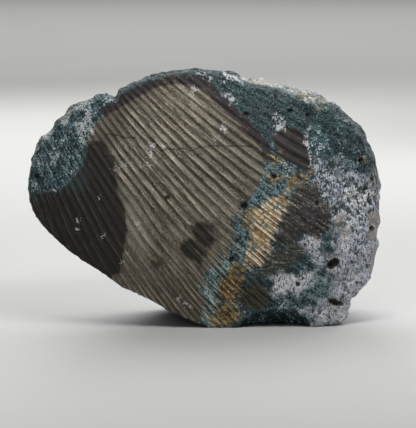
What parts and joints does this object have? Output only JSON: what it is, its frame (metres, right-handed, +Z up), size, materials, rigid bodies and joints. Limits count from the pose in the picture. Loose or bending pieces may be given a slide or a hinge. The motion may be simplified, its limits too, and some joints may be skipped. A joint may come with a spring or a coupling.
{
  "type": "apophyllite cluster on basalt matrix",
  "caption": "Sawn-backed piece of basalt with celadonite and rust staining, standing on edge, whose hollow front holds a pale crystal crust and apophyllite crystals.",
  "frame": {"origin": "under the middle of the specimen, on the surface that it stands on", "axes": "+Z up, +X along the specimen's longest side, towards the end with the pale natural skin; the sawn back faces -Y and the crystals face +Y"},
  "size_m": [0.1599, 0.0652, 0.1154],
  "materials": {
    "basalt": "dry sawn basalt, grey-brown with saw ridges, teal celadonite at its rim, a rusty ochre vein and pale natural skin",
    "druse": "cream-white crystalline crust of small points, slightly glossy",
    "apophyllite": "clear to pale mint crystal with glassy faces"
  },
  "bodies": {
    "root": {"basalt_matrix": "basalt", "druse_crust": "druse", "apophyllite_cluster": "apophyllite", "apophyllite_pair": "apophyllite", "apophyllite_crystal_1": "apophyllite", "apophyllite_crystal_2": "apophyllite", "apophyllite_crystal_3": "apophyllite", "apophyllite_crystal_4": "apophyllite", "apophyllite_crystal_5": "apophyllite", "apophyllite_crystal_6": "apophyllite", "apophyllite_crystal_7": "apophyllite"}
  },
  "joints": []
}
